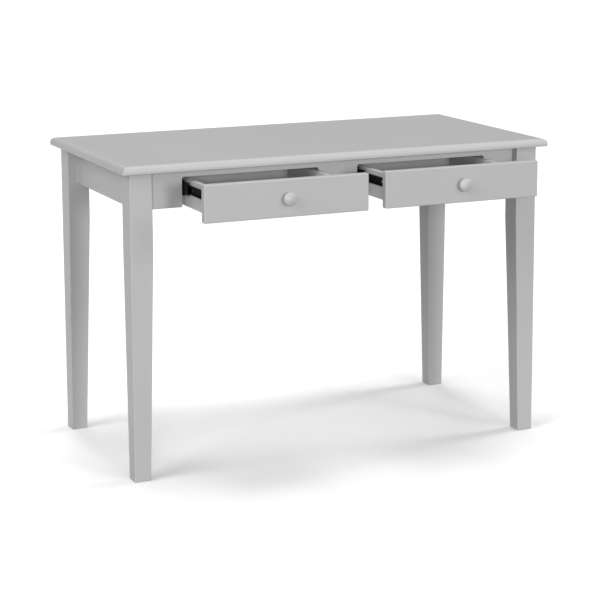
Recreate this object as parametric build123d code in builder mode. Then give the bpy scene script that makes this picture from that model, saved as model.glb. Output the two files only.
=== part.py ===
from build123d import *
import os
from math import atan, degrees

# Writing desk with two shallow drawers: a moulded top on four tapered legs, aprons between the legs, and
# drawer boxes that hang on black ball-bearing slides. Every piece is its own solid.
# Millimetres, +X to the right, +Z up, the drawers open towards -Y. The origin is on the floor under the
# middle of the desk's whole box, measured with the drawers pulled out as far as they stand at rest.
# "Ahead" below is the distance in front of the middle of the leg frame.

# overall sizes
DESK_H = 750.0
TOP_T = 19.0
TOP_OVERHANG = 22.0
FRAME_W = 1070.0
FRAME_D = 526.0

# top's edge moulding: a large quarter round, mitred at the corners, above a small upright lip
CROWN_R = 14.0
TOP_CORNER_R = 5.0
UNDER_R = 2.0

# legs, tapered on the two faces that look inwards
LEG_TOP = 55.0
LEG_FOOT = 40.0
TAPER_TOP = 548.0
LEG_EDGE_R = 2.0
FOOT_CHAMFER = 1.5

# aprons and the front rail
APRON_H = 90.0
APRON_T = 18.0
APRON_SETBACK = 23.0
APRON_EDGE_R = 1.5
OPENING_X = 225.0
OPENING_W = 348.0
OPENING_ABOVE = 18.5
OPENING_R = 6.5

# drawers: -1 is the left one and 1 the right one; OPEN is how far each stands open at rest
OPEN = {-1: 197.0, 1: 193.5}
FRONT_W = 405.0
FRONT_H = 87.0
FRONT_T = 18.0
FRONT_Z = 639.0
FRONT_GAP = 0.5
FRONT_EDGE_R = 2.5
BOX_W = 328.0
BOX_L = 344.0
BOX_H = 65.0
BOX_Z = 643.0
BOX_T = 12.0
BOX_TOP_R = 1.5
REBATE = 6.0
BOTTOM_T = 5.0
BOTTOM_ABOVE_EDGE = 7.5
BOTTOM_PLAY = 0.2

# slides, centred on one height; each member is a steel channel
SLIDE_Z = 686.5
STEEL_T = 1.0
OUTER_H = 35.0
OUTER_DEPTH = 8.5
OUTER_L = 350.0
MIDDLE_H = 28.0
MIDDLE_DEPTH = 5.9
MIDDLE_L = 276.0
MIDDLE_LAG = 69.0
INNER_H = 20.0
INNER_DEPTH = 5.9
INNER_L = 340.0
SLIDE_INSET = 2.0
INNER_INSET = 3.0
HEAD_ROOM = 1.6
TAB_DEPTH = 7.0
PUNCH_L = 14.0
PUNCH_W = 4.5
OUTER_PUNCHES_AT = (75.0, 105.0, 210.0, 240.0, 275.0)
MIDDLE_PUNCHES_AT = (30.0, 75.0, 138.0, 201.0, 246.0)
INNER_PUNCHES_AT = (20.0, 72.0, 185.0, 225.0, 262.0)

# ball cages between the members: place when the drawer is shut, and share of its travel that they move
OUTER_CAGE_L = 170.0
OUTER_CAGE_AHEAD = 150.0
OUTER_CAGE_SHARE = 0.25
INNER_CAGE_L = 95.0
INNER_CAGE_AHEAD = 80.0
INNER_CAGE_SHARE = 0.75
MIDDLE_SHARE = 0.5
BALL_PLAY = 0.1
BALL_PITCH = 20.0
CAGE_T = 0.6
CAGE_W = 4.0

# runners: front-to-back boards beside the openings that carry the slides
RUNNER_H = 60.0
RUNNER_T = 18.0

# corner blocks and their bolts
BLOCK_NEAR = 26.0
BLOCK_FAR = 54.3
BLOCK_H = 60.0
BOLT_R = 4.0
BOLT_IN_LEG = 40.0
BOLT_TAIL = 10.5
WASHER_R = 9.0
WASHER_T = 1.6
NUT_R = 7.5
NUT_T = 6.5

# dowels and their holes
DOWEL_R = 4.0
FRAME_DOWEL_L = 40.0
FRAME_DOWEL_Z = (20.0, 70.0)
END_DOWEL_Z = (32.0, 58.0)
RUNNER_DOWEL_L = 30.0
RUNNER_DOWEL_IN_RAIL = 10.0
BOX_DOWEL_R = 3.0
BOX_DOWEL_L = 28.0
BOX_DOWEL_IN_FRONT = 11.0
BOX_DOWEL_Z = (20.0, 49.0)
HOLE_PLAY = 0.1

# screws: (head radius, head height, shank radius, length under the head)
OUTER_SCREW = (3.2, 1.2, 1.7, 14.0)
INNER_SCREW = (3.2, 2.0, 1.7, 10.0)
CLIP_SCREW = (4.0, 2.4, 2.0, 15.0)
KNOB_SCREW = (4.0, 2.6, 2.0, 30.0)
OUTER_SCREWS_AT = (40.0, 175.0, 310.0)
INNER_SCREWS_AT = (42.0, 146.0, 302.0)
RECESS_W = 0.8
RECESS_DEPTH = 0.7

# clips that hold the top down: a bent strip hooked into a groove in the apron
CLIP_W = 20.0
CLIP_T = 2.0
CLIP_TONGUE = 8.0
CLIP_STEP = 12.0
CLIP_TAB = 18.0
CLIP_FOOT = 6.0
CLIP_SPREAD = 300.0

# turned knob's profile, each point as (radius, distance from the drawer front)
KNOB_L = 21.5
KNOB_FOOT = (10.0, 1.5)
KNOB_NECK = (7.0, 4.5)
KNOB_HEAD_BACK = (13.4, 8.2)
KNOB_RIM = (16.0, 12.6)
KNOB_FACE_EDGE = (14.8, 16.4)
KNOB_BORE = 13.0

SIDE_NAME = {-1: "left", 1: "right"}
END_NAME = {-1: "front", 1: "back"}

# derived sizes, measured from the middle of the leg frame
UNDER_TOP = DESK_H - TOP_T
LEG_X = FRAME_W / 2
LEG_Y = FRAME_D / 2
INNER_X = LEG_X - LEG_TOP
INNER_Y = LEG_Y - LEG_TOP
APRON_Z = UNDER_TOP - APRON_H
RAIL_FRONT = LEG_Y - APRON_SETBACK
RAIL_BACK = RAIL_FRONT - APRON_T
END_FACE = LEG_X - APRON_SETBACK
END_INSIDE = END_FACE - APRON_T
SLIDE_FRONT = RAIL_FRONT - SLIDE_INSET
BOLT_Z = APRON_Z + APRON_H / 2
BLOCK_BACK = (BLOCK_FAR - END_INSIDE + INNER_X) / 2**0.5
SLIDE_GAP = (OPENING_W - BOX_W) / 2
KNOB_Z = FRONT_Z + FRONT_H / 2
GROOVE_H = BOTTOM_T + BOTTOM_PLAY
GROOVE_Z = BOX_Z + BOTTOM_ABOVE_EDGE
FRONT_REACH = RAIL_FRONT + FRONT_GAP + max(OPEN.values()) + FRONT_T + KNOB_L
BACK_REACH = LEG_Y + TOP_OVERHANG
FRAME_Y = (FRONT_REACH - BACK_REACH) / 2

# planes through the middle of the leg frame: on the floor, facing the front, and facing the right
FLOOR = Plane((0, FRAME_Y, 0))
FRONT = Plane(origin=(0, FRAME_Y, 0), x_dir=(1, 0, 0), z_dir=(0, -1, 0))
RIGHT = Plane(origin=(0, FRAME_Y, 0), x_dir=(0, 1, 0), z_dir=(1, 0, 0))


def save(piece, name):
    """Labels a finished piece and writes its STEP file."""
    piece.part.label = name
    export_step(piece.part, f"parts/{name}.step")


def rods(plane, places, radius, length, mode=Mode.ADD):
    """Round rods of one length that start on a plane, or round holes when mode is SUBTRACT."""
    with BuildSketch(plane) as ends:
        with Locations(*places):
            Circle(radius)
    extrude(ends.sketch, amount=length, mode=mode)


def holes(plane, places, radius, length):
    rods(plane, places, radius + HOLE_PLAY, length, Mode.SUBTRACT)


def screws(plane, places, screw, out):
    """Pan-head screws with a cross recess; the heads stand out of the plane on the side that out gives."""
    head_r, head_h, shank_r, length = screw
    rods(plane, places, head_r, out * head_h)
    rods(plane, places, shank_r, -out * length)
    with BuildSketch(plane.offset(out * head_h)) as recesses:
        with Locations(*places):
            Rectangle(head_r * 1.2, RECESS_W)
            Rectangle(RECESS_W, head_r * 1.2)
    extrude(recesses.sketch, amount=-out * RECESS_DEPTH, mode=Mode.SUBTRACT)


def board(plane, centre, width, height, thickness, edge_r):
    """A flat board on a plane, with all its long edges softened."""
    with BuildPart() as piece:
        with BuildSketch(plane):
            with Locations(centre):
                Rectangle(width, height)
        extrude(amount=thickness)
        along = piece.edges().filter_by(lambda edge: edge.length > max(width, height) - 0.01)
        fillet(along, edge_r)
    return piece


def make_top():
    """A board whose four edges are rounded over in front and side view, and eased a little in plan."""
    width, depth = FRAME_W + 2 * TOP_OVERHANG, FRAME_D + 2 * TOP_OVERHANG
    with BuildPart() as top:
        with BuildSketch(FLOOR.offset(UNDER_TOP)):
            RectangleRounded(width, depth, TOP_CORNER_R)
        extrude(amount=TOP_T)
        for plane, across, reach in ((FRONT, width, depth), (RIGHT, depth, width)):
            with BuildSketch(plane) as profile:
                with Locations((0, UNDER_TOP)):
                    Rectangle(across, TOP_T, align=(Align.CENTER, Align.MIN))
                fillet(profile.vertices().group_by(Axis.Y)[-1], CROWN_R)
            extrude(profile.sketch, amount=reach, both=True, mode=Mode.INTERSECT)
        fillet(top.edges().group_by(Axis.Z)[0], UNDER_R)
        holes(FLOOR.offset(UNDER_TOP), [place for place, _ in clip_places()], CLIP_SCREW[2], CLIP_SCREW[3])
    return top


def make_leg(side, end):
    """One leg, its outer corner plumb and its two inner faces tapered down to the foot."""
    corner = (side * LEG_X, end * LEG_Y)
    inwards = (Align.MAX if side > 0 else Align.MIN, Align.MAX if end > 0 else Align.MIN)
    with BuildPart() as leg:
        for height, width in ((0, LEG_FOOT), (TAPER_TOP, LEG_TOP)):
            with BuildSketch(FLOOR.offset(height)):
                with Locations(corner):
                    Rectangle(width, width, align=inwards)
        loft()
        with BuildSketch(FLOOR.offset(TAPER_TOP)):
            with Locations(corner):
                Rectangle(LEG_TOP, LEG_TOP, align=inwards)
        extrude(amount=UNDER_TOP - TAPER_TOP)
        fillet(leg.edges().filter_by(lambda edge: edge.length > 2 * LEG_TOP), LEG_EDGE_R)
        chamfer(leg.faces().sort_by(Axis.Z)[0].edges(), FOOT_CHAMFER)
        rail_y = end * (RAIL_FRONT + RAIL_BACK) / 2
        rail_dowels = [(rail_y, APRON_Z + z) for z in FRAME_DOWEL_Z]
        holes(RIGHT.offset(side * INNER_X), rail_dowels, DOWEL_R, side * FRAME_DOWEL_L / 2)
        end_x = side * (END_FACE + END_INSIDE) / 2
        end_dowels = [(end_x, APRON_Z + z) for z in END_DOWEL_Z]
        holes(FRONT.offset(-end * INNER_Y), end_dowels, DOWEL_R, -end * FRAME_DOWEL_L / 2)
        holes(bolt_plane(side, end), [(0, 0)], BOLT_R, BOLT_IN_LEG)
    return leg


def bolt_plane(side, end):
    """Plane across a leg's inner corner, facing diagonally into the leg at the bolt's height."""
    return Plane(origin=(side * INNER_X, FRAME_Y + end * INNER_Y, BOLT_Z), z_dir=(side, end, 0))


def cross_rail(ahead):
    """A board from leg to leg along the front or back, with dowel holes in both ends."""
    piece = board(FRONT.offset(ahead), (0, BOLT_Z), 2 * INNER_X, APRON_H, APRON_T, APRON_EDGE_R)
    middle = -(ahead + APRON_T / 2)
    with piece:
        for side in (-1, 1):
            places = [(middle, APRON_Z + z) for z in FRAME_DOWEL_Z]
            holes(RIGHT.offset(side * INNER_X), places, DOWEL_R, -side * FRAME_DOWEL_L / 2)
    return piece


def runner_places():
    """Middle of each runner across the desk, with the drawer it serves and the side of that drawer."""
    reach = OPENING_W / 2 + RUNNER_T / 2
    return [(drawer, hand, drawer * OPENING_X + hand * reach) for drawer in (-1, 1) for hand in (-1, 1)]


def runner_dowel_places():
    heights = (SLIDE_Z - RUNNER_H / 4, SLIDE_Z + RUNNER_H / 4)
    return [(x, z) for _, _, x in runner_places() for z in heights]


def clip_places():
    """Screw place of each top clip on the floor plan, with the way its tongue points into the apron."""
    reach = CLIP_STEP + CLIP_FOOT - CLIP_T
    back = [((x, RAIL_BACK - reach), (0, 1)) for x in (-CLIP_SPREAD, 0, CLIP_SPREAD)]
    ends = [((side * (END_INSIDE - reach), 0), (side, 0)) for side in (-1, 1)]
    return [*back, ((0, -RAIL_BACK + reach), (0, -1)), *ends]


def clip_plane(place, towards):
    """Upright plane down the middle of a clip: its x runs from the screw towards the apron."""
    x_dir = Vector(*towards, 0)
    across = x_dir.cross(Vector(0, 0, 1))
    origin = Vector(place[0], FRAME_Y + place[1], UNDER_TOP)
    return Plane(origin=origin, x_dir=x_dir, z_dir=across)


def cut_clip_grooves(end_filter):
    """Cuts the short grooves that the clips' tongues hook into, in the board being built."""
    reach = CLIP_STEP + CLIP_FOOT - CLIP_T
    for place, towards in clip_places():
        if towards == end_filter:
            with BuildSketch(clip_plane(place, towards)) as groove:
                with Locations((reach, -CLIP_STEP - CLIP_T / 2)):
                    Rectangle(CLIP_TONGUE + 1, CLIP_T + 2 * HOLE_PLAY, align=(Align.MIN, Align.CENTER))
            extrude(groove.sketch, amount=CLIP_W / 2 + 1, both=True, mode=Mode.SUBTRACT)


def make_front_rail():
    """Front rail with a notch for each drawer, open at the bottom and rounded at its upper corners."""
    rail = cross_rail(RAIL_BACK)
    with rail:
        for drawer in (-1, 1):
            height = APRON_H - OPENING_ABOVE
            with BuildSketch(FRONT.offset(RAIL_BACK)) as notch:
                with Locations((drawer * OPENING_X, APRON_Z + height)):
                    Rectangle(OPENING_W, height + 1, align=(Align.CENTER, Align.MAX))
                fillet(notch.vertices().group_by(Axis.Y)[-1], OPENING_R)
            extrude(notch.sketch, amount=APRON_T, mode=Mode.SUBTRACT)
        holes(FRONT.offset(RAIL_BACK), runner_dowel_places(), DOWEL_R, RUNNER_DOWEL_IN_RAIL)
        cut_clip_grooves((0, -1))
    return rail


def make_back_apron():
    apron = cross_rail(-RAIL_FRONT)
    with apron:
        holes(FRONT.offset(-RAIL_BACK), runner_dowel_places(), DOWEL_R, -RUNNER_DOWEL_IN_RAIL)
        cut_clip_grooves((0, 1))
    return apron


def make_end_apron(side):
    inner = RIGHT.offset(side * END_INSIDE)
    apron = board(inner, (0, BOLT_Z), 2 * INNER_Y, APRON_H, side * APRON_T, APRON_EDGE_R)
    with apron:
        for end in (-1, 1):
            places = [(side * (END_FACE + END_INSIDE) / 2, APRON_Z + z) for z in END_DOWEL_Z]
            holes(FRONT.offset(-end * INNER_Y), places, DOWEL_R, end * FRAME_DOWEL_L / 2)
        cut_clip_grooves((side, 0))
    return apron


def make_runner(drawer, hand, middle_x):
    """A runner board between front rail and back apron, its face flush with the side of the opening."""
    face = drawer * OPENING_X + hand * OPENING_W / 2
    runner = board(RIGHT.offset(face), (0, SLIDE_Z), 2 * RAIL_BACK, RUNNER_H, hand * RUNNER_T, APRON_EDGE_R)
    depth = RUNNER_DOWEL_L - RUNNER_DOWEL_IN_RAIL
    with runner:
        places = [(middle_x, SLIDE_Z - RUNNER_H / 4), (middle_x, SLIDE_Z + RUNNER_H / 4)]
        for end in (-1, 1):
            holes(FRONT.offset(-end * RAIL_BACK), places, DOWEL_R, end * depth)
        holes(RIGHT.offset(face), outer_screw_places(), OUTER_SCREW[2], hand * OUTER_SCREW[3])
    return runner


def make_corner_block(side, end):
    """Slanted block across an inner corner, bored for the bolt that pulls the leg in."""
    plan = [
        (INNER_X - BLOCK_NEAR, RAIL_BACK),
        (INNER_X - BLOCK_FAR, RAIL_BACK),
        (END_INSIDE, INNER_Y - BLOCK_FAR),
        (END_INSIDE, INNER_Y - BLOCK_NEAR),
    ]
    with BuildPart() as block:
        with BuildSketch(FLOOR.offset(BOLT_Z - BLOCK_H / 2)):
            with BuildLine():
                Polyline([(side * x, end * y) for x, y in plan], close=True)
            make_face()
        extrude(amount=BLOCK_H)
        rods(bolt_plane(side, end).offset(-LEG_TOP), [(0, 0)], BOLT_R + 0.5, LEG_TOP, Mode.SUBTRACT)
    return block


def make_bolts():
    with BuildPart() as bolts:
        for side, end in corners():
            start = bolt_plane(side, end).offset(-BLOCK_BACK - BOLT_TAIL)
            rods(start, [(0, 0)], BOLT_R, BLOCK_BACK + BOLT_TAIL + BOLT_IN_LEG)
    return bolts


def make_washers():
    with BuildPart() as washers:
        for side, end in corners():
            face = bolt_plane(side, end).offset(-BLOCK_BACK - WASHER_T)
            rods(face, [(0, 0)], WASHER_R, WASHER_T)
            holes(face, [(0, 0)], BOLT_R, WASHER_T)
    return washers


def make_nuts():
    with BuildPart() as nuts:
        for side, end in corners():
            face = bolt_plane(side, end).offset(-BLOCK_BACK - WASHER_T - NUT_T)
            with BuildSketch(face) as outline:
                RegularPolygon(NUT_R, 6)
            extrude(outline.sketch, amount=NUT_T)
            holes(face, [(0, 0)], BOLT_R, NUT_T)
    return nuts


def corners():
    return [(side, end) for side in (-1, 1) for end in (-1, 1)]


def make_frame_dowels():
    """Dowels across every joint between the legs and the aprons."""
    with BuildPart() as dowels:
        for side, end in corners():
            rail_y = end * (RAIL_FRONT + RAIL_BACK) / 2
            across = [(rail_y, APRON_Z + z) for z in FRAME_DOWEL_Z]
            rods(RIGHT.offset(side * INNER_X - FRAME_DOWEL_L / 2), across, DOWEL_R, FRAME_DOWEL_L)
            end_x = side * (END_FACE + END_INSIDE) / 2
            along = [(end_x, APRON_Z + z) for z in END_DOWEL_Z]
            rods(FRONT.offset(-end * INNER_Y - FRAME_DOWEL_L / 2), along, DOWEL_R, FRAME_DOWEL_L)
    return dowels


def make_runner_dowels():
    with BuildPart() as dowels:
        for end in (-1, 1):
            start = FRONT.offset(-end * (RAIL_BACK + RUNNER_DOWEL_IN_RAIL))
            rods(start, runner_dowel_places(), DOWEL_R, end * RUNNER_DOWEL_L)
    return dowels


def make_clips():
    """Bent steel strips: a tongue in the apron's groove, a riser, and a tab screwed under the top."""
    reach = CLIP_STEP + CLIP_FOOT - CLIP_T
    tongue = reach + CLIP_TONGUE
    riser = reach - CLIP_FOOT
    low, high = -CLIP_STEP - CLIP_T, -CLIP_T
    outline = [
        (tongue, low),
        (tongue, low + CLIP_T),
        (riser + CLIP_T, low + CLIP_T),
        (riser + CLIP_T, 0),
        (riser - CLIP_TAB, 0),
        (riser - CLIP_TAB, high),
        (riser, high),
        (riser, low),
    ]
    with BuildPart() as clips:
        for place, towards in clip_places():
            with BuildSketch(clip_plane(place, towards)) as strip:
                with BuildLine():
                    Polyline(outline, close=True)
                make_face()
            extrude(strip.sketch, amount=CLIP_W / 2, both=True)
        places = [place for place, _ in clip_places()]
        holes(FLOOR.offset(UNDER_TOP), places, CLIP_SCREW[2], -CLIP_T)
    return clips


def make_clip_screws():
    with BuildPart() as fixings:
        places = [place for place, _ in clip_places()]
        screws(FLOOR.offset(UNDER_TOP - CLIP_T), places, CLIP_SCREW, -1)
    return fixings


def outer_screw_places():
    return [(-SLIDE_FRONT + y, SLIDE_Z) for y in OUTER_SCREWS_AT]


def channel(web_x, towards, depth, height, ahead, length):
    """A steel channel along the slide: its web on one face, its two flanges pointing towards +X or -X."""
    align = Align.MIN if towards > 0 else Align.MAX
    with BuildPart() as member:
        with BuildSketch(FRONT.offset(ahead - length)):
            with Locations((web_x, SLIDE_Z)):
                Rectangle(depth, height, align=(align, Align.CENTER))
            with Locations((web_x + towards * STEEL_T, SLIDE_Z)):
                Rectangle(depth, height - 2 * STEEL_T, align=(align, Align.CENTER), mode=Mode.SUBTRACT)
        extrude(amount=length)
        long_edges = member.edges().filter_by(Axis.Y)
        outside = long_edges.filter_by(lambda edge: abs(edge.center().X - web_x) < 0.01)
        fillet(outside, STEEL_T * 0.8)
    return member


def punch(face, ahead, places, depth):
    """Cuts slots lengthways through a member's web, at distances behind its front end."""
    with BuildSketch(RIGHT.offset(face)) as slots:
        with Locations(*[(-ahead + place, SLIDE_Z) for place in places]):
            SlotOverall(PUNCH_L, PUNCH_W)
    extrude(slots.sketch, amount=depth, mode=Mode.SUBTRACT)


def make_outer_member(drawer, hand):
    """Cabinet member: screwed to the runner, with a bent stop tab at the back."""
    web_x = drawer * OPENING_X + hand * OPENING_W / 2
    member = channel(web_x, -hand, OUTER_DEPTH, OUTER_H, SLIDE_FRONT, OUTER_L)
    with member:
        with BuildSketch(FRONT.offset(SLIDE_FRONT - OUTER_L)) as tab:
            with Locations((web_x - hand * STEEL_T / 2, SLIDE_Z)):
                align = Align.MAX if hand > 0 else Align.MIN
                Rectangle(TAB_DEPTH, MIDDLE_H, align=(align, Align.CENTER))
        extrude(tab.sketch, amount=STEEL_T)
        inner_face = RIGHT.offset(web_x - hand * STEEL_T)
        holes(inner_face, outer_screw_places(), OUTER_SCREW[2], hand * STEEL_T)
        punch(web_x, SLIDE_FRONT, OUTER_PUNCHES_AT, -hand * STEEL_T)
    return member


def make_middle_member(drawer, hand):
    web_x = drawer * OPENING_X + hand * (OPENING_W / 2 - STEEL_T - HEAD_ROOM)
    ahead = RAIL_FRONT - MIDDLE_LAG + MIDDLE_SHARE * OPEN[drawer]
    member = channel(web_x, -hand, MIDDLE_DEPTH, MIDDLE_H, ahead, MIDDLE_L)
    with member:
        punch(web_x, ahead, MIDDLE_PUNCHES_AT, -hand * STEEL_T)
    return member


def box_front(drawer):
    """Distance ahead of a drawer box's front end, where the drawer front's back face is."""
    return RAIL_FRONT + FRONT_GAP + OPEN[drawer]


def inner_screw_places(drawer):
    return [(-box_front(drawer) + y, SLIDE_Z) for y in INNER_SCREWS_AT]


def make_inner_member(drawer, hand):
    """Drawer member: its web screwed flat to the drawer's side."""
    web_x = drawer * OPENING_X + hand * BOX_W / 2
    ahead = box_front(drawer) - INNER_INSET
    member = channel(web_x, hand, INNER_DEPTH, INNER_H, ahead, INNER_L)
    with member:
        holes(RIGHT.offset(web_x), inner_screw_places(drawer), INNER_SCREW[2], hand * STEEL_T)
        punch(web_x, ahead, INNER_PUNCHES_AT, hand * STEEL_T)
    return member


def make_cages(drawer, middle_x, gap_low, gap_high, ahead, length, width):
    """Ball cages of one drawer: perforated strips with balls, above and below, on both slides."""
    ball_r = (gap_high - gap_low) / 2 - BALL_PLAY
    count = int(length / BALL_PITCH)
    with BuildPart() as cages:
        for hand in (-1, 1):
            x = drawer * OPENING_X + hand * middle_x
            rows = [(x, -ahead + length / 2 + (i - (count - 1) / 2) * BALL_PITCH) for i in range(count)]
            for above in (-1, 1):
                z = SLIDE_Z + above * (gap_low + gap_high) / 2
                with BuildSketch(FLOOR.offset(z - CAGE_T / 2)) as strip:
                    with Locations((x, -ahead + length / 2)):
                        Rectangle(width, length)
                    with Locations(*rows):
                        Circle(ball_r + HOLE_PLAY, mode=Mode.SUBTRACT)
                extrude(strip.sketch, amount=CAGE_T)
                with Locations(*[(rx, FRAME_Y + ry, z) for rx, ry in rows]):
                    Sphere(ball_r)
    return cages


def make_outer_cages(drawer):
    reach = OPENING_W / 2 - STEEL_T - HEAD_ROOM - MIDDLE_DEPTH / 2
    ahead = OUTER_CAGE_AHEAD + OUTER_CAGE_SHARE * OPEN[drawer]
    low, high = MIDDLE_H / 2, OUTER_H / 2 - STEEL_T
    return make_cages(drawer, reach, low, high, ahead, OUTER_CAGE_L, CAGE_W)


def make_inner_cages(drawer):
    reach = BOX_W / 2 + (INNER_DEPTH + SLIDE_GAP - OUTER_DEPTH) / 2
    ahead = INNER_CAGE_AHEAD + INNER_CAGE_SHARE * OPEN[drawer]
    low, high = INNER_H / 2, MIDDLE_H / 2 - STEEL_T
    return make_cages(drawer, reach, low, high, ahead, INNER_CAGE_L, CAGE_W * 0.75)


def make_slide_screws():
    """Screws of all four cabinet members, into the runners."""
    with BuildPart() as fixings:
        for drawer, hand, _ in runner_places():
            face = drawer * OPENING_X + hand * (OPENING_W / 2 - STEEL_T)
            screws(RIGHT.offset(face), outer_screw_places(), OUTER_SCREW, -hand)
    return fixings


def make_drawer_screws(drawer):
    """Screws of both drawer members of one drawer, into its sides."""
    with BuildPart() as fixings:
        for hand in (-1, 1):
            face = drawer * OPENING_X + hand * (BOX_W / 2 + STEEL_T)
            screws(RIGHT.offset(face), inner_screw_places(drawer), INNER_SCREW, hand)
    return fixings


def box_dowel_places(drawer):
    reach = (BOX_W - BOX_T) / 2
    return [(drawer * OPENING_X + hand * reach, BOX_Z + z) for hand in (-1, 1) for z in BOX_DOWEL_Z]


def make_drawer_front(drawer):
    ahead = box_front(drawer)
    middle = drawer * OPENING_X
    with BuildPart() as front:
        with BuildSketch(FRONT.offset(ahead)):
            with Locations((middle, KNOB_Z)):
                Rectangle(FRONT_W, FRONT_H)
        extrude(amount=FRONT_T)
        fillet(front.edges().filter_by(Axis.Y), FRONT_EDGE_R)
        fillet(front.faces().sort_by(Axis.Y)[0].edges(), FRONT_EDGE_R)
        chamfer(front.faces().sort_by(Axis.Y)[-1].edges(), APRON_EDGE_R)
        with BuildSketch(FRONT.offset(ahead)) as groove:
            with Locations((middle, GROOVE_Z)):
                Rectangle(BOX_W - 2 * REBATE, GROOVE_H, align=(Align.CENTER, Align.MIN))
        extrude(groove.sketch, amount=REBATE, mode=Mode.SUBTRACT)
        holes(FRONT.offset(ahead), box_dowel_places(drawer), BOX_DOWEL_R, BOX_DOWEL_IN_FRONT)
        holes(FRONT.offset(ahead), [(middle, KNOB_Z)], KNOB_SCREW[2] + HOLE_PLAY, FRONT_T)
    return front


def make_drawer_side(drawer, hand):
    """A drawer side, grooved for the bottom and rebated at the back end."""
    ahead = box_front(drawer)
    outside = drawer * OPENING_X + hand * BOX_W / 2
    inside = outside - hand * BOX_T
    with BuildPart() as side:
        with BuildSketch(RIGHT.offset(inside)):
            with Locations((-ahead, BOX_Z)):
                Rectangle(BOX_L, BOX_H, align=(Align.MIN, Align.MIN))
        extrude(amount=hand * BOX_T)
        fillet(side.faces().sort_by(Axis.Z)[-1].edges().filter_by(Axis.Y), BOX_TOP_R)
        with BuildSketch(RIGHT.offset(inside)) as cuts:
            with Locations((-ahead, GROOVE_Z)):
                Rectangle(BOX_L, GROOVE_H, align=(Align.MIN, Align.MIN))
            with Locations((-ahead + BOX_L, BOX_Z)):
                Rectangle(BOX_T, BOX_H, align=(Align.MAX, Align.MIN))
        extrude(cuts.sketch, amount=hand * REBATE, mode=Mode.SUBTRACT)
        places = [(x, z) for x, z in box_dowel_places(drawer) if abs(x - inside) < BOX_T]
        holes(FRONT.offset(ahead), places, BOX_DOWEL_R, BOX_DOWEL_IN_FRONT - BOX_DOWEL_L)
        pilots = inner_screw_places(drawer)
        holes(RIGHT.offset(outside), pilots, INNER_SCREW[2], -hand * (INNER_SCREW[3] - STEEL_T))
    return side


def make_drawer_back(drawer):
    """A drawer back, held in the rebates of the sides and grooved for the bottom."""
    rear = FRONT.offset(box_front(drawer) - BOX_L)
    middle = drawer * OPENING_X
    with BuildPart() as back:
        with BuildSketch(rear):
            with Locations((middle, BOX_Z)):
                Rectangle(BOX_W - 2 * REBATE, BOX_H, align=(Align.CENTER, Align.MIN))
        extrude(amount=BOX_T)
        fillet(back.faces().sort_by(Axis.Z)[-1].edges().filter_by(Axis.X), BOX_TOP_R)
        with BuildSketch(rear.offset(BOX_T)) as groove:
            with Locations((middle, GROOVE_Z)):
                Rectangle(BOX_W - 2 * REBATE, GROOVE_H, align=(Align.CENTER, Align.MIN))
        extrude(groove.sketch, amount=-REBATE, mode=Mode.SUBTRACT)
    return back


def make_drawer_bottom(drawer):
    """A thin panel that sits in the grooves of front, sides and back with a little play."""
    width = BOX_W - 2 * BOX_T + 2 * (REBATE - BOTTOM_PLAY)
    length = BOX_L - BOX_T + 2 * (REBATE - BOTTOM_PLAY)
    ahead = box_front(drawer) + REBATE - BOTTOM_PLAY
    with BuildPart() as bottom:
        with BuildSketch(FLOOR.offset(GROOVE_Z + BOTTOM_PLAY / 2)):
            with Locations((drawer * OPENING_X, -ahead)):
                Rectangle(width, length, align=(Align.CENTER, Align.MIN))
        extrude(amount=BOTTOM_T)
    return bottom


def make_box_dowels(drawer):
    with BuildPart() as dowels:
        start = FRONT.offset(box_front(drawer) + BOX_DOWEL_IN_FRONT)
        rods(start, box_dowel_places(drawer), BOX_DOWEL_R, -BOX_DOWEL_L)
    return dowels


def make_knob(drawer):
    """Turned knob: a small foot, a waisted neck, and a mushroom head with a domed face."""
    ahead = box_front(drawer) + FRONT_T
    centre = (drawer * OPENING_X, FRAME_Y - ahead, KNOB_Z)
    tip = (0, KNOB_L)
    with BuildPart() as knob:
        with BuildSketch(Plane(origin=centre, x_dir=(1, 0, 0), z_dir=(0, 0, -1))):
            with BuildLine():
                Polyline((0, 0), (KNOB_FOOT[0], 0), KNOB_FOOT)
                TangentArc(KNOB_NECK, KNOB_FOOT, tangent=(0, -1))
                TangentArc(KNOB_NECK, KNOB_HEAD_BACK, tangent=(0, 1))
                ThreePointArc(KNOB_HEAD_BACK, KNOB_RIM, KNOB_FACE_EDGE)
                TangentArc(tip, KNOB_FACE_EDGE, tangent=(1, 0))
                Line(tip, (0, 0))
            make_face()
        revolve(axis=Axis(centre, (0, -1, 0)))
        holes(FRONT.offset(ahead), [(drawer * OPENING_X, KNOB_Z)], KNOB_SCREW[2], KNOB_BORE)
    return knob


def make_knob_screw(drawer):
    with BuildPart() as fixing:
        screws(FRONT.offset(box_front(drawer)), [(drawer * OPENING_X, KNOB_Z)], KNOB_SCREW, -1)
    return fixing


def write_frame():
    save(make_top(), "tabletop")
    for side, end in corners():
        save(make_leg(side, end), f"{END_NAME[end]}_{SIDE_NAME[side]}_leg")
        save(make_corner_block(side, end), f"{END_NAME[end]}_{SIDE_NAME[side]}_corner_block")
    save(make_front_rail(), "front_rail")
    save(make_back_apron(), "back_apron")
    for side in (-1, 1):
        save(make_end_apron(side), f"{SIDE_NAME[side]}_end_apron")
    for drawer, hand, middle_x in runner_places():
        place = "outer" if drawer == hand else "inner"
        save(make_runner(drawer, hand, middle_x), f"{SIDE_NAME[drawer]}_drawer_{place}_runner")
    save(make_frame_dowels(), "frame_dowels")
    save(make_runner_dowels(), "runner_dowels")
    save(make_bolts(), "hanger_bolts")
    save(make_washers(), "bolt_washers")
    save(make_nuts(), "bolt_nuts")
    save(make_clips(), "tabletop_clips")
    save(make_clip_screws(), "tabletop_clip_screws")
    save(make_slide_screws(), "cabinet_slide_screws")


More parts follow.
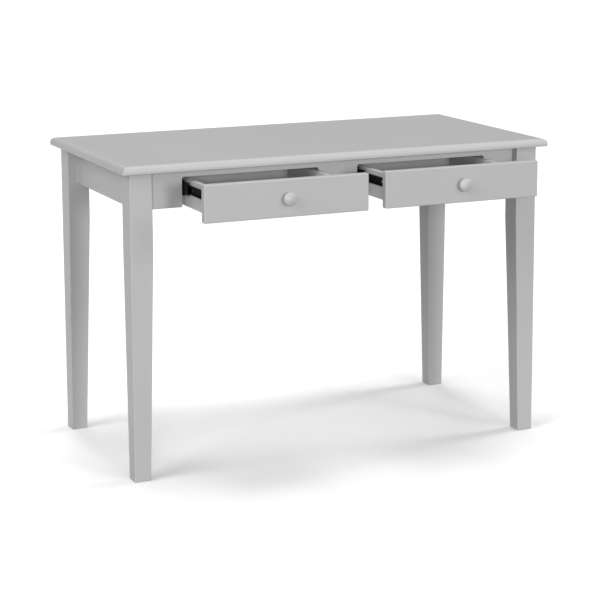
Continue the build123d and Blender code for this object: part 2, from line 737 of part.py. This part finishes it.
def write_drawer(drawer):
    name = f"{SIDE_NAME[drawer]}_drawer"
    save(make_drawer_front(drawer), f"{name}_front")
    save(make_drawer_back(drawer), f"{name}_back")
    save(make_drawer_bottom(drawer), f"{name}_bottom")
    save(make_box_dowels(drawer), f"{name}_dowels")
    save(make_knob(drawer), f"{name}_knob")
    save(make_knob_screw(drawer), f"{name}_knob_screw")
    save(make_drawer_screws(drawer), f"{name}_slide_screws")
    save(make_outer_cages(drawer), f"{name}_outer_ball_cages")
    save(make_inner_cages(drawer), f"{name}_inner_ball_cages")
    for hand in (-1, 1):
        save(make_drawer_side(drawer, hand), f"{name}_{SIDE_NAME[hand]}_side")
        save(make_outer_member(drawer, hand), f"{name}_{SIDE_NAME[hand]}_slide_cabinet_member")
        save(make_middle_member(drawer, hand), f"{name}_{SIDE_NAME[hand]}_slide_middle_member")
        save(make_inner_member(drawer, hand), f"{name}_{SIDE_NAME[hand]}_slide_drawer_member")


os.makedirs("parts", exist_ok=True)
write_frame()
write_drawer(-1)
write_drawer(1)
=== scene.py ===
import math

import bpy
from mathutils import Euler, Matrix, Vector


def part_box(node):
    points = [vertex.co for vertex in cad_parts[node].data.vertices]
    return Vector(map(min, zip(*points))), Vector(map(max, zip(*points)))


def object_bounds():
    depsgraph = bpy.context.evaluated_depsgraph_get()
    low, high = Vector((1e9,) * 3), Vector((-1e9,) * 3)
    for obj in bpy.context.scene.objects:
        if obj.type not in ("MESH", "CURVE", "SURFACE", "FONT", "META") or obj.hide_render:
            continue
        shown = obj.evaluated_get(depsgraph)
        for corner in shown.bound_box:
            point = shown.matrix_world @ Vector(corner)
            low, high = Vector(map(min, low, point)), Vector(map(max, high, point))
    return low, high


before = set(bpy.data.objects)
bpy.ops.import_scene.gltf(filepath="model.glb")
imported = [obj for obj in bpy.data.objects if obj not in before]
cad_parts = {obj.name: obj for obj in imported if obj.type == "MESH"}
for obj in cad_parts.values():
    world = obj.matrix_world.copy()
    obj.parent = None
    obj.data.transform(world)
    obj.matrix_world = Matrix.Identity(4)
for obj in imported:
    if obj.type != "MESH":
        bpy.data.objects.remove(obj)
cad_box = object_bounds()

# Camera, in the row frame: metres and degrees, and millimetres for the lens and its sensor. It looks from the
# left, a little above the top. The upward shift of the desk in the frame is kept small for the other views.
CAMERA_AT = (-1.9551, -4.3143, 1.4129)
CAMERA_YAW = 23.98
CAMERA_PITCH = 9.95
CAMERA_ROLL = 0.24
CAMERA_FOCAL = 116.6
CAMERA_SENSOR = 36.0
CAMERA_SHIFT_Y = -0.15

# Studio: strength of the room all round and of the floor's own glow, the floor's look and half its width in
# metres, then the soft lamps, each with its azimuth, elevation and spread in degrees, and its strength
ROOM_LIGHT = 0.18
FLOOR_GLOW = 0.05
FLOOR_WHITE = (0.86, 0.86, 0.86, 1.0)
FLOOR_HALF = 60.0
FLOOR_ROUGHNESS = 0.9
FLOOR_GLOSS = 0.1
WHITE = (1.0, 1.0, 1.0, 1.0)
LAMP_DISTANCE = 5.0
LAMPS = {
    "overhead": (0.0, 90.0, 20.0, 0.36),
    "front_left": (-24.0, 9.0, 10.0, 0.42),
    "front": (3.0, 8.0, 8.0, 0.35),
    "front_right": (28.0, 27.0, 12.0, 0.13),
    "left": (-75.0, 30.0, 40.0, 0.54),
    "right": (95.0, 30.0, 20.0, 0.40),
    "back": (180.0, 50.0, 30.0, 0.20),
}

# Paint and metal tones, linear
PAINT = (0.40, 0.40, 0.40)
BOARD_PAINT = (0.38, 0.38, 0.38)
BARE_WOOD = (0.50, 0.34, 0.19)
BARE_WOOD_DARK = (0.33, 0.19, 0.09)
BLACK_STEEL = (0.002, 0.002, 0.0022)
DARK_SCREW = (0.02, 0.02, 0.02)
ZINC = (0.56, 0.56, 0.54)
BEARING = (0.62, 0.62, 0.62)

# How much finer a board's grain is across the board than along it
GRAIN_ACROSS = 16.0
AXES = "XYZ"

# Noise scales, per metre
PAINT_GRAIN_SCALE = 9.0
PAINT_CLOUD_SCALE = 2.3
ROLLER_STIPPLE_SCALE = 620.0
RING_SCALE = 2.6
FIBRE_SCALE = 60.0
DRAWN_LINE_SCALE = 70.0
STEEL_CLOUD_SCALE = 45.0

# Radians of growth ring over the whole range of the noise that they follow
RING_TURNS = 60.0

# Relief depths and the radius of the corners that are rubbed, in metres
PAINT_GRAIN_RELIEF = 0.00012
STIPPLE_RELIEF = 0.000035
FIBRE_RELIEF = 0.0002
DRAWN_LINE_RELIEF = 0.00003
BOARD_EDGE = 0.0022
STEEL_EDGE = 0.0006
EDGE_SAMPLES = 6

# Paint's specular level, and how strongly a rubbed edge is lightened and made smoother
PAINT_GLOSS = 0.45
RUBBED_STRENGTH = 0.35
RUBBED_SMOOTHER = -0.06

# Sockets of a colour Mix node: its factor and its two colours, and its result
MIX_FACTOR, MIX_FIRST, MIX_SECOND = 0, 6, 7
MIX_RESULT = 2


class Shader:
    """A node material under construction.

    add() makes a node, and set() fills its sockets: another node's output is linked, and a plain value is set.
    """

    def __init__(self, name):
        self.material = bpy.data.materials.new(name)
        self.material.use_nodes = True
        self.tree = self.material.node_tree
        self.tree.nodes.clear()
        self.surface = self.add("ShaderNodeBsdfPrincipled")
        output = self.add("ShaderNodeOutputMaterial")
        self.tree.links.new(self.surface.outputs["BSDF"], output.inputs["Surface"])
        self.coords = self.add("ShaderNodeTexCoord").outputs["Object"]

    def set(self, node, sockets):
        for key, value in sockets.items():
            if isinstance(value, bpy.types.NodeSocket):
                self.tree.links.new(value, node.inputs[key])
            else:
                node.inputs[key].default_value = value

    def add(self, kind, sockets=None, **properties):
        node = self.tree.nodes.new(kind)
        for key, value in properties.items():
            setattr(node, key, value)
        self.set(node, sockets or {})
        return node

    def noise(self, vector, scale, detail=2.0, roughness=0.5):
        sockets = {"Vector": vector, "Scale": scale, "Detail": detail, "Roughness": roughness}
        return self.add("ShaderNodeTexNoise", sockets).outputs["Fac"]

    def stretched(self, along):
        """Object coordinates that vary slowly along one axis, for grain that runs that way."""
        scale = [1.0 if axis == along else GRAIN_ACROSS for axis in AXES]
        return self.add("ShaderNodeMapping", {"Vector": self.coords, "Scale": scale}).outputs["Vector"]

    def ranged(self, value, low, high, to_low, to_high):
        sockets = {"Value": value, "From Min": low, "From Max": high, "To Min": to_low, "To Max": to_high}
        return self.add("ShaderNodeMapRange", sockets).outputs["Result"]

    def math(self, operation, a, b=0.0):
        return self.add("ShaderNodeMath", {0: a, 1: b}, operation=operation).outputs["Value"]

    def mix(self, factor, first, second):
        node = self.add("ShaderNodeMix", data_type="RGBA")
        self.set(node, {MIX_FACTOR: factor, MIX_FIRST: first, MIX_SECOND: second})
        return node.outputs[MIX_RESULT]

    def bump(self, height, distance, normal=None):
        sockets = {"Height": height, "Distance": distance, "Strength": 1.0}
        if normal is not None:
            sockets["Normal"] = normal
        return self.add("ShaderNodeBump", sockets).outputs["Normal"]

    def edges(self, radius):
        """About 1 on corners tighter than the radius and 0 on flat faces."""
        rounded = self.add("ShaderNodeBevel", {"Radius": radius}, samples=EDGE_SAMPLES).outputs["Normal"]
        flat = self.add("ShaderNodeNewGeometry").outputs["Normal"]
        alike = self.add("ShaderNodeVectorMath", {0: rounded, 1: flat}, operation="DOT_PRODUCT")
        return self.ranged(alike.outputs["Value"], 0.98, 0.8, 0.0, 1.0)


def rgba(colour, factor=1.0):
    return (*(channel * factor for channel in colour), 1.0)


def painted(name, along, tone=PAINT):
    """Satin paint on planed wood: faint grain under the paint, roller stipple, slightly rubbed edges."""
    shader = Shader(name)
    grain = shader.noise(shader.stretched(along), PAINT_GRAIN_SCALE, detail=7.0, roughness=0.62)
    cloud = shader.noise(shader.coords, PAINT_CLOUD_SCALE, detail=3.0)
    stipple = shader.noise(shader.coords, ROLLER_STIPPLE_SCALE)
    patchy = shader.ranged(cloud, 0.35, 0.6, 0.15, 0.7)
    rubbed = shader.math("MULTIPLY", shader.edges(BOARD_EDGE), patchy)
    body = shader.mix(shader.ranged(cloud, 0.3, 0.7, 0.0, 1.0), rgba(tone, 0.975), rgba(tone, 1.02))
    body = shader.mix(shader.ranged(grain, 0.58, 0.8, 0.0, 0.35), body, rgba(tone, 0.93))
    body = shader.mix(shader.math("MULTIPLY", rubbed, RUBBED_STRENGTH), body, rgba(tone, 1.25))
    smoother = shader.math("MULTIPLY", rubbed, RUBBED_SMOOTHER)
    roughness = shader.math("ADD", shader.ranged(grain, 0.3, 0.7, 0.38, 0.46), smoother)
    relief = shader.bump(grain, PAINT_GRAIN_RELIEF)
    relief = shader.bump(stipple, STIPPLE_RELIEF, relief)
    shader.set(shader.surface, {"Base Color": body, "Roughness": roughness, "Normal": relief})
    shader.surface.inputs["Specular IOR Level"].default_value = PAINT_GLOSS
    return shader.material


def bare_wood(name, along):
    """Planed softwood with growth rings seen as long bands."""
    shader = Shader(name)
    stretched = shader.stretched(along)
    sockets = {"Vector": stretched, "Scale": RING_SCALE, "Detail": 2.0, "Distortion": 0.6}
    bands = shader.add("ShaderNodeTexNoise", sockets).outputs["Fac"]
    rings = shader.math("SINE", shader.math("MULTIPLY", bands, RING_TURNS))
    fibre = shader.noise(stretched, FIBRE_SCALE, detail=6.0, roughness=0.7)
    ringed = shader.ranged(rings, -1.0, 1.0, 0.1, 0.75)
    tone = shader.mix(ringed, rgba(BARE_WOOD), rgba(BARE_WOOD_DARK, 1.25))
    tone = shader.mix(shader.ranged(fibre, 0.45, 0.75, 0.0, 0.5), tone, rgba(BARE_WOOD_DARK))
    relief = shader.bump(fibre, FIBRE_RELIEF)
    roughness = shader.ranged(fibre, 0.3, 0.7, 0.62, 0.78)
    shader.set(shader.surface, {"Base Color": tone, "Roughness": roughness, "Normal": relief})
    return shader.material


def metal(name, tone, roughness, metallic, scuff, gloss=0.5):
    """Rolled or plated steel: drawing lines along the part, cloudy roughness, edges rubbed brighter."""
    shader = Shader(name)
    lines = shader.noise(shader.stretched("Y"), DRAWN_LINE_SCALE, detail=4.0, roughness=0.6)
    cloud = shader.noise(shader.coords, STEEL_CLOUD_SCALE, detail=3.0)
    patchy = shader.ranged(cloud, 0.4, 0.65, 0.0, 1.0)
    edge = shader.math("MULTIPLY", shader.edges(STEEL_EDGE), patchy)
    body = shader.mix(shader.math("MULTIPLY", edge, 0.5), rgba(tone), rgba(scuff))
    clouded = shader.ranged(cloud, 0.3, 0.7, -0.07, 0.07)
    lined = shader.ranged(lines, 0.3, 0.7, -0.03, 0.03)
    varied = shader.math("ADD", shader.math("ADD", clouded, lined), roughness)
    relief = shader.bump(lines, DRAWN_LINE_RELIEF)
    shader.set(shader.surface, {"Base Color": body, "Roughness": varied, "Normal": relief})
    shader.surface.inputs["Metallic"].default_value = metallic
    shader.surface.inputs["Specular IOR Level"].default_value = gloss
    return shader.material


PAINTED = {axis: painted(f"grey_paint_grain_{axis}", axis) for axis in AXES}
BARE = {axis: bare_wood(f"bare_wood_grain_{axis}", axis) for axis in AXES}
BOARD = painted("drawer_bottom_paint", "Y", BOARD_PAINT)
SLIDE_STEEL = metal("black_slide_steel", BLACK_STEEL, 0.5, 0.0, (0.03, 0.03, 0.031), gloss=0.08)
SLIDE_SCREW = metal("black_screw_steel", DARK_SCREW, 0.45, 0.0, (0.05, 0.05, 0.05), gloss=0.2)
BRIGHT_STEEL = metal("bearing_steel", BEARING, 0.22, 1.0, (0.75, 0.75, 0.75))
PLATED_STEEL = metal("zinc_plated_steel", ZINC, 0.34, 1.0, (0.72, 0.72, 0.70))


def finish_of(node):
    """The material of a CAD node, from its name and the way its board runs."""
    if "_member" in node:
        return SLIDE_STEEL
    if "cages" in node:
        return BRIGHT_STEEL
    if node.endswith("slide_screws"):
        return SLIDE_SCREW
    if "screw" in node or node in ("hanger_bolts", "bolt_nuts", "bolt_washers", "tabletop_clips"):
        return PLATED_STEEL
    low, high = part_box(node)
    size = high - low
    along = AXES[max(range(3), key=lambda i: size[i])]
    if node.endswith("_corner_block"):
        return BARE["Z"]
    if node.endswith("dowels"):
        return BARE[along]
    if node.endswith("_bottom"):
        return BOARD
    return PAINTED[along]


def dress_nodes():
    """Gives every CAD node its material in place of the plain one that it comes with."""
    for name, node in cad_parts.items():
        node.data.materials.clear()
        node.data.materials.append(finish_of(name))


def make_floor():
    """Pale studio floor, wide enough to reach the horizon, bright as an overexposed sweep.

    It is left out of the diffuse bounce, so that its brightness doesn't light the desk from below.
    """
    half = FLOOR_HALF
    mesh = bpy.data.meshes.new("studio_floor")
    corners = [(-half, -half, 0), (half, -half, 0), (half, half, 0), (-half, half, 0)]
    mesh.from_pydata(corners, [], [(0, 1, 2, 3)])
    floor = bpy.data.objects.new("studio_floor", mesh)
    bpy.context.scene.collection.objects.link(floor)
    floor.visible_diffuse = False
    shader = Shader("studio_floor_white")
    sockets = shader.surface.inputs
    sockets["Base Color"].default_value = FLOOR_WHITE
    sockets["Roughness"].default_value = FLOOR_ROUGHNESS
    sockets["Specular IOR Level"].default_value = FLOOR_GLOSS
    sockets["Emission Color"].default_value = WHITE
    sockets["Emission Strength"].default_value = FLOOR_GLOW
    mesh.materials.append(shader.material)


def make_sun(name, azimuth, elevation, spread, strength):
    """Soft light from far away. Azimuth 0 is straight in front of the desk, and positive is to its right."""
    turn, rise = math.radians(azimuth), math.radians(elevation)
    towards = Vector((math.sin(turn) * math.cos(rise), -math.cos(turn) * math.cos(rise), math.sin(rise)))
    data = bpy.data.lights.new(name, "SUN")
    data.angle = math.radians(spread)
    data.energy = math.pi * strength
    lamp = bpy.data.objects.new(name, data)
    lamp.location = (cad_box[0] + cad_box[1]) / 2 + towards * LAMP_DISTANCE
    lamp.rotation_euler = towards.to_track_quat("Z", "Y").to_euler()
    bpy.context.scene.collection.objects.link(lamp)


def make_lighting():
    world = bpy.data.worlds.new("studio")
    world.use_nodes = True
    background = world.node_tree.nodes["Background"]
    background.inputs["Color"].default_value = WHITE
    background.inputs["Strength"].default_value = ROOM_LIGHT
    bpy.context.scene.world = world
    for name, light in LAMPS.items():
        make_sun(name, *light)
    bpy.context.scene.view_settings.view_transform = "Standard"


def make_camera():
    data = bpy.data.cameras.new("camera")
    data.lens = CAMERA_FOCAL
    data.sensor_width = CAMERA_SENSOR
    data.shift_y = CAMERA_SHIFT_Y
    camera = bpy.data.objects.new("camera", data)
    camera.location = CAMERA_AT
    turn = Euler((math.radians(90 - CAMERA_PITCH), 0, math.radians(-CAMERA_YAW)), "XYZ").to_matrix()
    roll = Euler((0, 0, math.radians(-CAMERA_ROLL)), "XYZ").to_matrix()
    camera.rotation_euler = (turn @ roll).to_euler()
    bpy.context.scene.collection.objects.link(camera)
    bpy.context.scene.camera = camera


dress_nodes()
make_floor()
make_lighting()
make_camera()
